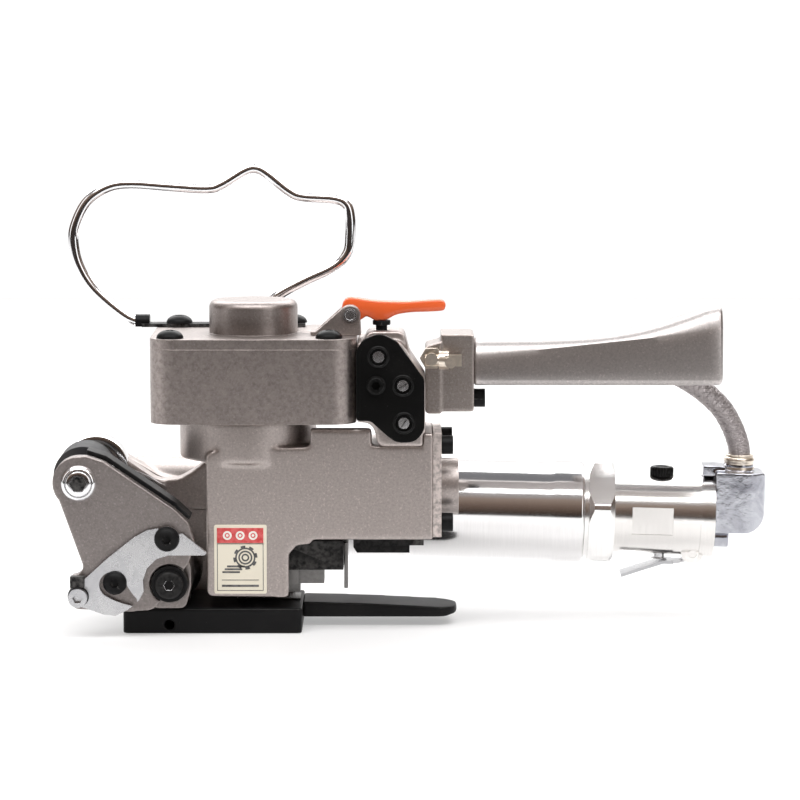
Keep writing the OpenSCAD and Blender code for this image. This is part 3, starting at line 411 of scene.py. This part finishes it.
def polish_nodes():
    for look, nodes in NODE_LOOKS.items():
        for name in nodes:
            obj = NODES[name]
            if not obj.material_slots:
                obj.data.materials.append(M[look])
            for slot in obj.material_slots:
                slot.material = M[look]
            weld = obj.modifiers.new("weld", "WELD")
            weld.merge_threshold = 0.00001
            if name in SOFT:
                voxel, passes = SOFT[name]
                blocks = obj.modifiers.new("voxels", "REMESH")
                blocks.mode = "VOXEL"
                blocks.voxel_size = voxel * MM
                blocks.use_smooth_shade = True
                ease = obj.modifiers.new("ease", "SMOOTH")
                ease.factor = 0.5
                ease.iterations = passes
                continue
            if name not in PLAIN:
                flat = obj.modifiers.new("flat", "DECIMATE")
                flat.decimate_type = "DISSOLVE"
                flat.angle_limit = math.radians(0.7)
                bevel = obj.modifiers.new("edge", "BEVEL")
                bevel.width = EDGE.get(name, 0.35) * MM
                bevel.segments = 3
                bevel.limit_method = "ANGLE"
                bevel.angle_limit = math.radians(28)
                bevel.miter_outer = "MITER_ARC"
                bevel.harden_normals = False
            shade = obj.modifiers.new("shade", "WEIGHTED_NORMAL")
            shade.weight = 80
            shade.keep_sharp = False


polish_nodes()


# ---------------------------------------------------------------- mesh helpers
def new_piece(name, bm, material, smooth_deg=35):
    mesh = bpy.data.meshes.new(name)
    bm.normal_update()
    bm.to_mesh(mesh)
    bm.free()
    mesh.polygons.foreach_set("use_smooth", [True] * len(mesh.polygons))
    if smooth_deg:
        mesh.set_sharp_from_angle(angle=math.radians(smooth_deg))
    mesh.materials.append(material)
    obj = bpy.data.objects.new(name, mesh)
    bpy.context.collection.objects.link(obj)
    return obj


def smooth_path(points, per_span):
    """Points on a smooth curve through the given points."""
    p = [Vector(v) for v in points]
    out = []
    for i in range(len(p) - 1):
        a, b, c, d = p[max(i - 1, 0)], p[i], p[i + 1], p[min(i + 2, len(p) - 1)]
        for k in range(per_span):
            f = k / per_span
            out.append(0.5 * (2 * b + (c - a) * f + (2 * a - 5 * b + 4 * c - d) * f * f
                              + (3 * b - a - 3 * c + d) * f ** 3))
    out.append(p[-1])
    return out


def path_frames(path):
    """Tangent, side and up at each point, turned as little as possible along the path."""
    frames = []
    side = None
    for i, point in enumerate(path):
        tangent = (path[min(i + 1, len(path) - 1)] - path[max(i - 1, 0)]).normalized()
        if side is None:
            side = tangent.orthogonal().normalized()
        side = (side - tangent * side.dot(tangent)).normalized()
        frames.append((point, tangent, side, tangent.cross(side)))
    return frames


def add_tube(bm, path, radius, sides=12, caps=True, flat=1.0, normals=None):
    """A tube along path. radius may be a function of 0..1; flat squeezes it along normals."""
    frames = path_frames(path)
    rings = []
    last = len(frames) - 1
    for i, (point, tangent, side, up) in enumerate(frames):
        r = radius(i / last) if callable(radius) else radius
        if normals is not None:
            up = normals[i]
            side = up.cross(tangent).normalized()
        ring = []
        for k in range(sides):
            a = 2 * math.pi * k / sides
            ring.append(bm.verts.new(point + side * r * math.cos(a) + up * r * flat * math.sin(a)))
        rings.append(ring)
    bridge(bm, rings)
    if caps:
        bm.faces.new(list(reversed(rings[0])))
        bm.faces.new(rings[-1])


def add_lathe(bm, profile, place, sides=64):
    """Turns (radius, height) points about the Z axis, then moves them with the matrix place."""
    rings = []
    for r, z in profile:
        if r <= 0:
            rings.append([bm.verts.new(place @ Vector((0, 0, z)))])
            continue
        rings.append([bm.verts.new(place @ Vector((r * math.cos(2 * math.pi * k / sides),
                                                   r * math.sin(2 * math.pi * k / sides), z))) for k in range(sides)])
    for a, b in zip(rings, rings[1:]):
        for k in range(sides):
            n = (k + 1) % sides
            if len(a) == 1 and len(b) == 1:
                continue
            if len(a) == 1:
                bm.faces.new((a[0], b[n], b[k]))
            elif len(b) == 1:
                bm.faces.new((a[k], a[n], b[0]))
            else:
                bm.faces.new((a[k], a[n], b[n], b[k]))


def mm_path(points):
    return [tuple(c * MM for c in p) for p in points]


def mm_profile(*points):
    """(radius, height) points given in millimetres."""
    return [(r * MM, h * MM) for r, h in points]


def bridge(bm, rings, flip=False):
    """Quads between neighbouring closed rings."""
    for a, b in zip(rings, rings[1:]):
        for k in range(len(a)):
            n = (k + 1) % len(a)
            bm.faces.new((a[k], b[k], b[n], a[n]) if flip else (a[k], a[n], b[n], b[k]))


def at_mm(x, y, z):
    return Matrix.Translation(Vector((x, y, z)) * MM)



# ---------------------------------------------------------------- motor axes
FEED = Vector((-41.8, 52.0, 27.3)) * MM
TILT = math.radians(1.65)
WORM_UP = 29.5 * MM


def motor_matrix():
    """Frame of the motor: X along its axis, origin above the feed shaft."""
    return Matrix.Translation(FEED) @ Matrix.Rotation(TILT, 4, "Y") @ Matrix.Translation((0, 0, WORM_UP))


# ---------------------------------------------------------------- bail
BAIL = [(-61, 33, 154.4), (-70, 33, 158.4), (-85.3, 33, 171.6), (-93.1, 33, 184.3), (-95.8, 33, 196.4), (-94.8, 33, 205.9),
        (-88.6, 33, 218), (-78, 33, 225.4), (-66, 33, 227.4), (-44, 33, 226), (-25.4, 33, 225), (-17.5, 33, 227.2),
        (-5.8, 33, 234.2), (0, 33, 235.6), (5.6, 33, 233), (17, 33, 224), (24.5, 33, 220.8), (41, 33, 219.6),
        (47.6, 33, 216.6), (49.7, 33, 210), (49.8, 33, 200), (48.4, 33, 191), (41.2, 33, 183.8), (26, 33, 176.6),
        (12, 33, 169), (6, 33, 162), (3, 33, 154.6)]


def make_bail():
    bm = bmesh.new()
    add_tube(bm, smooth_path(mm_path(BAIL), 10), 3.0 * MM, 24)
    bail = new_piece("bail_wire", bm, M["chrome"])
    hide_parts("carry_bail")
    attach(bail, "tool_frame")


make_bail()

# ---------------------------------------------------------------- hose
HOSE = [(257.6, 52, 81), (257.5, 52, 84.2), (256.5, 51.8, 89), (253, 50.9, 98), (246.5, 48, 108.3), (234.6, 43.6, 119),
        (220, 39.6, 127.6), (206, 37.2, 132.6), (193, 36, 134.5), (186, 36, 134.7)]
HOSE_R = 6.0 * MM
STRANDS = 12
WIRES = 3


def helix_over(frames, radius, turns, phase, wave, wave_count, wave_phase):
    """Points and outward normals of one braid wire round the hose."""
    points, normals = [], []
    last = len(frames) - 1
    for i, (point, tangent, side, up) in enumerate(frames):
        t = i / last
        a = 2 * math.pi * (turns * t + phase)
        out = side * math.cos(a) + up * math.sin(a)
        points.append(point + out * (radius + wave * math.cos(2 * math.pi * wave_count * t + wave_phase)))
        normals.append(out)
    return points, normals


def make_hose():
    path = smooth_path(mm_path(HOSE), 40)
    frames = path_frames(path)
    length = sum((b - a).length for a, b in zip(path, path[1:]))
    bm = bmesh.new()
    add_tube(bm, path, HOSE_R - 0.75 * MM, 32)
    turns = length / (26 * MM)
    crossings = turns * STRANDS
    for direction in (1, -1):
        for s in range(STRANDS):
            for w in range(WIRES):
                phase = s / STRANDS + (w - 1) * 0.0235
                # a strand dives under every second strand that it meets
                wave_phase = math.pi * (s % 2) + (math.pi if direction < 0 else 0)
                points, normals = helix_over(frames, HOSE_R - 0.42 * MM, direction * turns, phase * direction, 0.12 * MM,
                                             crossings, wave_phase)
                add_tube(bm, points, 0.36 * MM, 5, False, 0.55, normals)
    hose = new_piece("air_hose", bm, M["braid"], 0)
    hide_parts("hose")
    return hose, path, length


air_hose, hose_path, hose_length = make_hose()
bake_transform(air_hose)


# ---------------------------------------------------------------- crimped hose end
ELBOW_X = 297.7  # the elbow's outlet along the motor's axis, in millimetres


def make_hose_end():
    bm = bmesh.new()
    place = motor_matrix() @ Matrix.Translation((ELBOW_X * MM, 0, 0))
    profile = [(0, 32.5), (6.1, 32.5), (7.2, 32.5), (7.9, 31.9), (8.15, 31.0), (8.15, 30.2), (7.9, 29.8), (7.9, 27.4),
               (8.15, 27.0), (8.15, 24.6)]
    add_lathe(bm, mm_profile(*profile), place, 56)
    ferrule = new_piece("hose_ferrule", bm, M["nickel"])
    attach(ferrule, "tension_unit")
    near = hose_path[:14]
    bm = bmesh.new()
    frames = path_frames(smooth_path(near, 8))
    for turns, phase, gap in ((2.6, 0.0, 0.85), (-1.7, 0.3, 1.25)):
        points, _ = helix_over(frames, HOSE_R + gap * MM, turns, phase, 0.25 * MM, 3, phase)
        add_tube(bm, points, 0.42 * MM, 8)
    wires = new_piece("hose_crimp_wires", bm, M["nickel"], 0)
    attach(wires, "tension_unit")


make_hose_end()


# ---------------------------------------------------------------- handle grip
GRIP_TOP = [(114.2, 148.8), (132, 149.2), (150, 149.7), (170, 150.7), (184, 152.0), (198.8, 154.3), (210, 156.9),
            (221.5, 160.2), (230, 163.0), (238, 165.6), (243.2, 166.2)]
GRIP_Y, GRIP_HALF, GRIP_BOTTOM = 5.0, 15.5, 125.5


def grip_section(x, top, inset):
    """Cross-section of the grip at x: flat sides, soft lower corners and a creased, rounded back."""
    side = 140.6 + (x - 114.2) * 0.106
    half = GRIP_HALF - inset
    low, high = GRIP_BOTTOM + inset, top - inset
    start, flat = math.radians(24), 4.5
    across = (half - flat) / math.cos(start)
    rise = (high - side) / (1 - math.sin(start))
    right = [(half - 3.2 + 3.2 * math.sin(math.radians(a)), low + 3.2 - 3.2 * math.cos(math.radians(a)))
             for a in range(0, 91, 15)]
    right += [(half - 1.5 * (k / 5) ** 2, low + 3.2 + (side - low - 3.2) * k / 5) for k in range(1, 6)]
    across -= 1.5 / math.cos(start)
    right += [(flat + across * math.cos(start + (math.pi / 2 - start) * k / 9),
               high - rise + rise * math.sin(start + (math.pi / 2 - start) * k / 9)) for k in range(1, 10)]
    ring = right + [(-y, z) for y, z in reversed(right)]
    return [Vector((x, GRIP_Y + y, z)) * MM for y, z in ring]


def make_grip():
    xs = [(114.2, 1.0), (114.6, 0.4), (115.4, 0.0)] + [(x, 0.0) for x in range(120, 240, 5)]
    xs += [(240.8, 0.0), (241.9, 0.4), (242.8, 1.3), (243.2, 2.6)]
    bm = bmesh.new()
    tops = smooth_path([(x, 0, z) for x, z in GRIP_TOP], 8)
    rings = []
    for x, inset in xs:
        near = min(range(len(tops) - 1), key=lambda i: abs((tops[i].x + tops[i + 1].x) / 2 - x))
        a, b = tops[near], tops[near + 1]
        top = a.z + (b.z - a.z) * (x - a.x) / (b.x - a.x)
        rings.append([bm.verts.new(v) for v in grip_section(x, top, inset)])
    bridge(bm, rings, flip=True)
    bm.faces.new(list(reversed(rings[0])))
    bm.faces.new(rings[-1])
    bmesh.ops.recalc_face_normals(bm, faces=bm.faces)
    grip = new_piece("grip_body", bm, M["grip"], 20)
    # the air inlet
    bm = bmesh.new()
    place = at_mm(228, GRIP_Y, 141) @ Matrix.Rotation(math.pi / 2, 4, "Y")
    add_lathe(bm, mm_profile((0, 0), (5.2, 0), (5.2, 14.2), (6.6, 15.6), (6.6, 20), (0, 20)), place, 48)
    bmesh.ops.recalc_face_normals(bm, faces=bm.faces)
    cutter = new_piece("cutter", bm, M["grip"])
    cut = grip.modifiers.new("inlet", "BOOLEAN")
    cut.operation = "DIFFERENCE"
    cut.object = cutter
    bpy.context.view_layer.update()
    mesh = bpy.data.meshes.new_from_object(grip.evaluated_get(bpy.context.evaluated_depsgraph_get()))
    grip.modifiers.clear()
    grip.data = mesh
    bpy.data.objects.remove(cutter)
    # the branch that feeds the hose
    bm = bmesh.new()
    place = at_mm(180, 20, 134.7) @ Matrix.Rotation(-math.pi / 2, 4, "X")
    add_lathe(bm, mm_profile((8.8, 0), (8.2, 0.8), (8, 2), (8, 21.2), (7.2, 22.6), (6, 23), (0, 23)), place, 48)
    place = at_mm(180, 36, 134.7) @ Matrix.Rotation(math.pi / 2, 4, "Y")
    add_lathe(bm, mm_profile((7.4, 0), (7.4, 10), (7.1, 10.8), (6.2, 11), (6.2, 6)), place, 48)
    bmesh.ops.recalc_face_normals(bm, faces=bm.faces)
    branch = new_piece("grip_hose_branch", bm, M["grip"])
    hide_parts("handle_grip")
    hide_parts("handle_grip")
    for piece in (grip, branch):
        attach(piece, "tool_frame")


make_grip()


# ---------------------------------------------------------------- screws, rings and caps
def along_y(x, y, z):
    """Matrix that turns a lathe's +Z to face the near side, at the given point in millimetres."""
    return at_mm(x, y, z) @ Matrix.Rotation(math.pi / 2, 4, "X")


def add_head(bm, place, profile, hex_r, depth, sides=48, closed=True):
    """A screw head or nut turned from profile, ending in a hexagonal recess."""
    rings = []
    for r, z in profile:
        rings.append([bm.verts.new(place @ Vector((r * MM * math.cos(2 * math.pi * k / sides),
                                                   r * MM * math.sin(2 * math.pi * k / sides), z * MM))) for k in range(sides)])
    top = profile[-1][1]
    for z in (top, top - depth):
        ring = []
        for k in range(sides):
            a = 2 * math.pi * k / sides
            wedge = (a % (math.pi / 3)) - math.pi / 6
            r = hex_r * math.cos(math.pi / 6) / math.cos(wedge)
            ring.append(bm.verts.new(place @ Vector((r * MM * math.cos(a), r * MM * math.sin(a), z * MM))))
        rings.append(ring)
    bridge(bm, rings)
    if closed:
        bm.faces.new(rings[-1])


def make_valve_screws():
    silver, black = bmesh.new(), bmesh.new()
    slots = bmesh.new()
    for i, (x, z) in enumerate(((65, 143.4), (77.5, 128.7), (78, 109.5))):
        place = along_y(x, -38.2, z)
        add_lathe(silver, mm_profile((3.2, -1), (3.2, 0.7), (2.9, 1.05), (0, 1.1)), place, 12 if i else 40)
        add_lathe(black, mm_profile((4.35, 0.2), (4.35, 1.5), (4.6, 1.85), (5.0, 1.9), (5.5, 1.7), (5.8, 1.35)),
                  place, 48)
        # Painted shade: on the second and third screw ends a thin black strip laid across the top stands in for the
        # shade inside a slot.
        if i:
            turn = place @ Matrix.Rotation(0.5 * i, 4, "Z")
            shape = Matrix.Translation((0, 0, 1.08 * MM)) @ Matrix.Diagonal((4.4, 0.7, 0.12, 1))
            bmesh.ops.create_cube(slots, size=MM, matrix=turn @ shape)
    place = along_y(63.8, -39.6, 129)
    add_head(black, place, ((4.9, 0), (4.9, 0.6), (4.2, 0.9), (4.1, 2.4), (3.7, 2.8), (2.6, 2.8)), 2.35, 2.2)
    for name, bm, look, slot in (("valve_screw_ends", silver, "ground", "screw_zinc"),
                                 ("valve_cover_rims", black, "black_paint", "steel_black"),
                                 ("valve_screw_slot_shade", slots, "black", "steel_black")):
        bmesh.ops.recalc_face_normals(bm, faces=bm.faces)
        piece = new_piece(name, bm, M[look])
        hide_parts("valve_cover_screws")
        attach(piece, "tool_frame")


AXLE = (-87.6, 79.4)


def make_side_details():
    bm = bmesh.new()
    add_head(bm, along_y(AXLE[0], -44, AXLE[1]),
             ((9.5, -0.2), (9.5, 1.0), (9.2, 1.6), (8.7, 3.0), (7.9, 3.9), (7.2, 4.1), (6.9, 3.65), (6.5, 3.65),
              (6.3, 4.3), (5.9, 4.6), (4.9, 4.7)), 4.3, 1.3, closed=False)
    axle = new_piece("axle_nut", bm, M["chrome"])
    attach(axle, "tension_unit")
    # Painted shade: a flat black hexagon closes the bottom of the nut's hexagonal recess and stands in for the shade
    # inside the socket.
    bm = bmesh.new()
    add_lathe(bm, mm_profile((4.5, 3.3), (4.5, 3.45), (0, 3.45)), along_y(AXLE[0], -44, AXLE[1]), 6)
    bmesh.ops.recalc_face_normals(bm, faces=bm.faces)
    socket = new_piece("axle_socket_shade", bm, M["black"])
    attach(socket, "tension_unit")
    bm = bmesh.new()
    add_head(bm, along_y(-88, -47.4, 21.5),
             ((5.6, -2.9), (5.6, 0.1), (5.0, 0.3), (5.0, 2.4), (4.6, 2.9), (3.2, 2.95)), 2.5, 2)
    bmesh.ops.create_cube(bm, size=MM, matrix=at_mm(-88.5, -47, 29.1) @ Matrix.Diagonal((7.3, 4.9, 5.9, 1)))
    tail = new_piece("hook_tail_screw", bm, M["black"])
    tail.modifiers.new("edge", "BEVEL").width = 0.3 * MM
    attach(tail, "hook")
    bm = bmesh.new()
    add_head(bm, along_y(-41.8, -42, 27.3),
             ((9.4, 0), (9.4, 2.2), (9.0, 2.8), (7.5, 2.85), (7.3, 3.1), (7.25, 5.2), (6.9, 6.3), (6.0, 7.1),
              (4.2, 7.4)), 2.9, 1.6)
    cap = new_piece("feed_shaft_screw", bm, M["black"])
    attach(cap, "feed_train")
    bm = bmesh.new()
    place = along_y(-83.4, 25.1, 80)
    rim = mm_profile((16.9, 0.0), (16.95, 12.8), (16.4, 13.7), (15.4, 13.9), (13.2, 13.9), (12.6, 13.3), (12.6, 12.6))
    add_lathe(bm, rim, place, 96)
    eye = new_piece("arm_eye_ring", bm, M["polished"])
    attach(eye, "tool_frame")


def make_knob():
    bm = bmesh.new()
    place = motor_matrix() @ Matrix.Translation((256.6 * MM, 0, 0))
    sides = 96
    rings = []
    for r, z, cut in ((5.2, 19.5, 0), (5.2, 20.6, 0), (6.15, 21.0, 0.25), (6.3, 21.4, 0.35), (6.3, 24.9, 0.35),
                      (6.1, 25.4, 0.2), (5.4, 26.0, 0), (3.6, 26.1, 0), (3.3, 25.7, 0)):
        rings.append([bm.verts.new(place @ Vector(((r - cut * (k % 4 > 1)) * MM * math.cos(2 * math.pi * k / sides),
                                                   (r - cut * (k % 4 > 1)) * MM * math.sin(2 * math.pi * k / sides), z * MM)))
                      for k in range(sides)])
    bridge(bm, rings)
    bm.faces.new(rings[-1])
    knob = new_piece("speed_knob", bm, M["black_paint"])
    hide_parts("adjusting_knob")
    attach(knob, "tension_unit")


def make_torsion_spring():
    turned = [(math.radians(90 + i * 11.25), -33 + i * 0.105) for i in range(121)]
    coil = [(AXLE[0] + 10 * math.cos(a), y, AXLE[1] + 10 * math.sin(a)) for a, y in turned]
    leg = [(-75, -20, 84), (-66, -18, 83), (-55, -8, 77.5), (-47, 10.8, 69)]
    path = [Vector(p) * MM for p in coil] + smooth_path(mm_path([coil[-1]] + leg), 8)[1:]
    bm = bmesh.new()
    add_tube(bm, path, 1.0 * MM, 12)
    spring = new_piece("return_spring", bm, M["ground"], 0)
    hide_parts("torsion_spring")
    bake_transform(spring)


def add_panel(bm, x0, x1, z0, z1, y, thick=0.12):
    """A thin plate that stands off the label."""
    place = at_mm((x0 + x1) / 2, y - thick / 2, (z0 + z1) / 2)
    bmesh.ops.create_cube(bm, size=MM, matrix=place @ Matrix.Diagonal((x1 - x0, thick, z1 - z0, 1)))


def add_disc(bm, x, z, r0, r1, y, a0=0, a1=360, thick=0.12):
    """A flat ring, or a part of one, standing off the label."""
    steps = max(6, int((a1 - a0) / 8))
    rings = []
    for i in range(steps + 1):
        a = math.radians(a0 + (a1 - a0) * i / steps)
        rings.append([bm.verts.new(Vector((x + r * math.cos(a), yy, z + r * math.sin(a))) * MM)
                      for r, yy in ((r0, y), (r0, y - thick), (r1, y - thick), (r1, y))])
    for a, b in zip(rings, rings[1:]):
        for k in range(3):
            bm.faces.new((a[k], b[k], b[k + 1], a[k + 1]))


def make_label():
    red, white, ink = bmesh.new(), bmesh.new(), bmesh.new()
    y = -33.5
    add_panel(red, -17.9, 5.9, 47.0, 54.8, y - 0.2, 0.14)
    for x in (-12.6, -6.0, 0.6):
        add_disc(white, x, 50.9, 1.3, 2.3, y - 0.34, 0, 360, 0.08)
        add_disc(white, x, 50.9, 0.05, 0.7, y - 0.34, 0, 360, 0.08)
    # frame and gear of a plain pictogram, with two rules below
    for x0, x1, z0, z1 in ((-17.9, 5.9, 46.4, 46.7), (-17.9, 5.9, 22.2, 22.5), (-17.9, -17.6, 22.2, 46.7),
                           (5.6, 5.9, 22.2, 46.7), (-15.5, 3.5, 27.6, 27.9), (-15.5, 3.5, 24.2, 25.3)):
        add_panel(ink, x0, x1, z0, z1, y)
    for r in (1.2, 2.8, 4.4):
        add_disc(ink, -3.4, 39.4, r, r + 0.8, y)
    for i in range(8):
        add_disc(ink, -3.4, 39.4, 5.2, 6.2, y, i * 45, i * 45 + 24)
    for k in range(3):
        add_panel(ink, -15.2 + 1.2 * k, -6.2 + 1.2 * k, 31.4 + 1.5 * k, 32.3 + 1.5 * k, y)
    for name, bm, look in (("label_header", red, "label_red"), ("label_dots", white, "white_ink"),
                           ("label_lines", ink, "label_ink")):
        bmesh.ops.recalc_face_normals(bm, faces=bm.faces)
        piece = new_piece(name, bm, M[look])
        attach(piece, "tool_frame")


LEVER_Y = -11
LEVER_PIN = (50.5, 162.9)
LEVER = [(46.9, 169.4), (48.6, 171.2), (51.2, 171.6), (55.4, 171.1), (61.5, 170.2), (68.8, 169.7), (78.1, 169.5),
         (86.3, 169.9), (94.6, 170.4), (97.9, 170.1), (99.3, 168.5), (99.2, 166.3), (97.6, 164.9), (90.5, 164.4),
         (82.2, 164.1), (76, 163.3), (72.9, 162.3), (70.8, 161.1), (68.2, 160.0), (63.6, 159.9), (60.9, 161.1),
         (58.8, 161.9), (56.9, 160.9), (54.2, 159.4), (50.4, 158.4), (47.2, 160), (46.2, 163), (46.2, 167)]


def make_lever():
    """The pressed lever: a smooth outline with a crowned back, thinner toward the tip."""
    loop = smooth_path([(x, 0, z) for x, z in LEVER + LEVER[:1]], 4)[:-1]
    bm = bmesh.new()
    rings = []
    for y, inset in ((-15.2, 0.9), (-14.9, 0.35), (-14.3, 0.0), (-11, -0.1), (-7.7, 0.0), (-7.1, 0.35), (-6.8, 0.9)):
        ring = []
        for i, p in enumerate(loop):
            before, after = loop[i - 1], loop[(i + 1) % len(loop)]
            along = (after - before).normalized()
            inward = Vector((along.z, 0, -along.x))
            q = p + inward * inset
            thin = 1 - 0.16 * max(0.0, min(1.0, (q.x - 60) / 38))
            ring.append(bm.verts.new(Vector((q.x, LEVER_Y + (y - LEVER_Y) * thin, q.z)) * MM))
        rings.append(ring)
    bridge(bm, rings, flip=True)
    bm.faces.new(list(reversed(rings[0])))
    bm.faces.new(rings[-1])
    bmesh.ops.recalc_face_normals(bm, faces=bm.faces)
    lever = new_piece("lever_shell", bm, M["orange"], 50)
    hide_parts("weld_lever")
    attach(lever, "lever")
    bm = bmesh.new()
    add_lathe(bm, mm_profile((3.3, 0), (3.3, 0.35), (3.5, 0.6), (4.6, 0.6), (5.0, 0.3), (5.1, -0.6)),
              along_y(LEVER_PIN[0], -18.4, LEVER_PIN[1]), 48)
    ring = new_piece("lever_boss_ring", bm, M["cast"])
    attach(ring, "tool_frame")
    bm = bmesh.new()
    add_lathe(bm, mm_profile((3.35, 0.1), (2.2, 0.12), (2.2, 0.1)), along_y(LEVER_PIN[0], -18.5, LEVER_PIN[1]), 40)
    rim = new_piece("lever_pin_rim", bm, M["black"])
    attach(rim, "tool_frame")


make_lever()
make_valve_screws()
make_side_details()
make_knob()
make_torsion_spring()
make_label()
